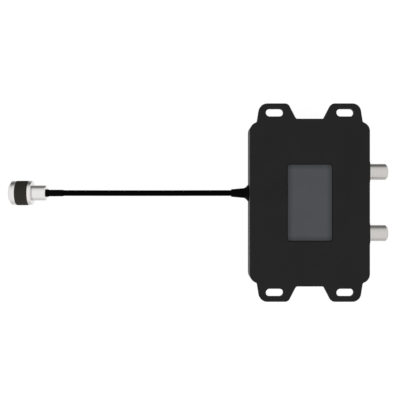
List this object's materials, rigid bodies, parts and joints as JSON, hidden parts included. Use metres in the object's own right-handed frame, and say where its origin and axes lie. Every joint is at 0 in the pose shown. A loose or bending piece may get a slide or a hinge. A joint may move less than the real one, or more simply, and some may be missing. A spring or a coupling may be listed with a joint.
{
  "type": "coaxial splitter",
  "caption": "Flat weather case with slotted ears that splits a coaxial lead into threaded ports; captive pigtail with a free-spinning coupling nut.",
  "frame": {"origin": "centre of the flat face opposite the ears, which the case lies on with its mounting side up", "axes": "+Z out of the mounting side, towards the viewer of the picture, +Y along the long side of the case, +X towards the threaded ports; the pigtail leaves towards -X"},
  "size_m": [0.2217, 0.1142, 0.018],
  "materials": {
    "case_plastic": "fine satin moulding",
    "plate_plastic": "blank slate-grey panel, satin",
    "seal_rubber": "soft black rubber",
    "relief_rubber": "moulded black rubber",
    "cable_jacket": "extruded black jacket",
    "grip_rubber": "finely ribbed black grip band",
    "screw_steel": "zinc-plated",
    "port_nickel": "satin nickel plate",
    "plug_nickel": "bright nickel plate",
    "tinned_steel": "tin plate",
    "contact_brass": "spring brass",
    "copper": "bare or enamelled copper",
    "insulator_white": "waxy white plastic",
    "board_laminate": "green solder mask",
    "ferrite": "sintered grey ferrite",
    "resistor_body": "lacquered",
    "capacitor_body": "fired ceramic"
  },
  "bodies": {
    "root": {"mounting_cover": "case_plastic", "case_shell": "case_plastic", "case_gasket": "seal_rubber", "face_plate": "plate_plastic", "case_screws": "screw_steel", "board_screws": "screw_steel", "circuit_board": "board_laminate", "port_body_upper": "port_nickel", "port_body_lower": "port_nickel", "port_insulator_upper": "insulator_white", "port_insulator_lower": "insulator_white", "port_contact_upper": "contact_brass", "port_contact_lower": "contact_brass", "port_collar_upper": "seal_rubber", "port_collar_lower": "seal_rubber", "strain_relief": "relief_rubber", "pigtail_cable": "cable_jacket", "cable_tail": "cable_jacket", "cable_end": "cable_jacket", "cable_core": "insulator_white", "core_wire": "copper", "cable_clamp": "tinned_steel", "plug_sleeve": "relief_rubber", "plug_ferrule": "plug_nickel", "plug_post": "plug_nickel", "plug_insulator": "insulator_white", "plug_conductor": "copper", "plug_seal": "seal_rubber", "shield_frame": "tinned_steel", "shield_lid": "tinned_steel", "matching_core": "ferrite", "splitter_core": "ferrite", "matching_winding": "copper", "splitter_winding": "copper", "balance_resistor": "resistor_body", "capacitors": "capacitor_body"},
    "nut": {"coupling_nut": "plug_nickel", "nut_grip": "grip_rubber"}
  },
  "joints": [
    {"name": "nut_spin", "type": "hinge", "parent": "root", "child": "nut", "pos_m": [-0.16845, 0.0056, 0.00725], "axis": [1, 0, 0], "continuous": true}
  ]
}
